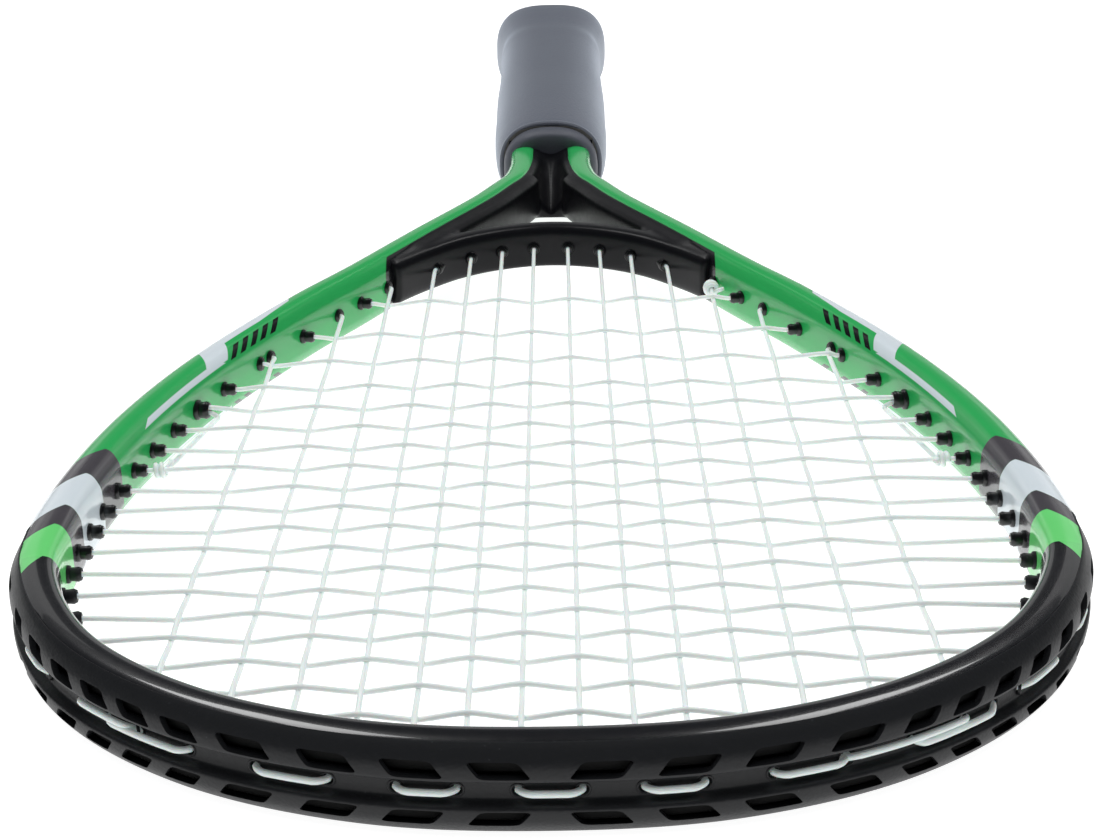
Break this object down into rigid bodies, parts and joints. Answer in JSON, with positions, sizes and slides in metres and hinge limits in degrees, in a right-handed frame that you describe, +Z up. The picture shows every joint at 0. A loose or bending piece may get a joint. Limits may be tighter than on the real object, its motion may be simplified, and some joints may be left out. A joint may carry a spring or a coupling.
{
  "type": "crossminton racket",
  "caption": "Crossminton racket: hollow frame with a throat bridge, tip bumper guard, grommets and woven strings, on a cushioned handle.",
  "frame": {"origin": "middle of the flat end face of the butt", "axes": "+Y out of the butt along the handle, so the tip points along -Y; +Z up, square to the string bed, on the side that the picture shows; +X to the right in the picture"},
  "size_m": [0.211, 0.59, 0.0384],
  "materials": {
    "frame": "lacquered fibre composite, glossy, with painted bands",
    "throat_moulding": "glossy black lacquer",
    "bumper": "satin moulded nylon",
    "grommet": "satin moulded nylon",
    "string": "translucent white nylon",
    "handle_shell": "rigid structural foam",
    "butt_cap": "moulded rubbery plastic",
    "staple": "plain steel wire",
    "grip": "smooth soft polyurethane",
    "collar": "smooth rubber"
  },
  "bodies": {
    "root": {"frame_tube": "frame", "throat_bridge": "throat_moulding", "bumper_guard": "bumper", "grommet_strip_left": "grommet", "grommet_strip_right": "grommet", "grommet_strip_throat": "grommet", "string_mains": "string", "string_crosses": "string", "string_knot_throat": "string", "string_knot_tip": "string", "string_knot_left": "string", "string_knot_right": "string", "handle_shell_upper": "handle_shell", "handle_shell_lower": "handle_shell", "butt_cap": "butt_cap", "butt_cap_door": "butt_cap", "butt_staple_left": "staple", "butt_staple_right": "staple", "grip_wrap": "grip", "grip_collar": "collar"}
  },
  "joints": []
}
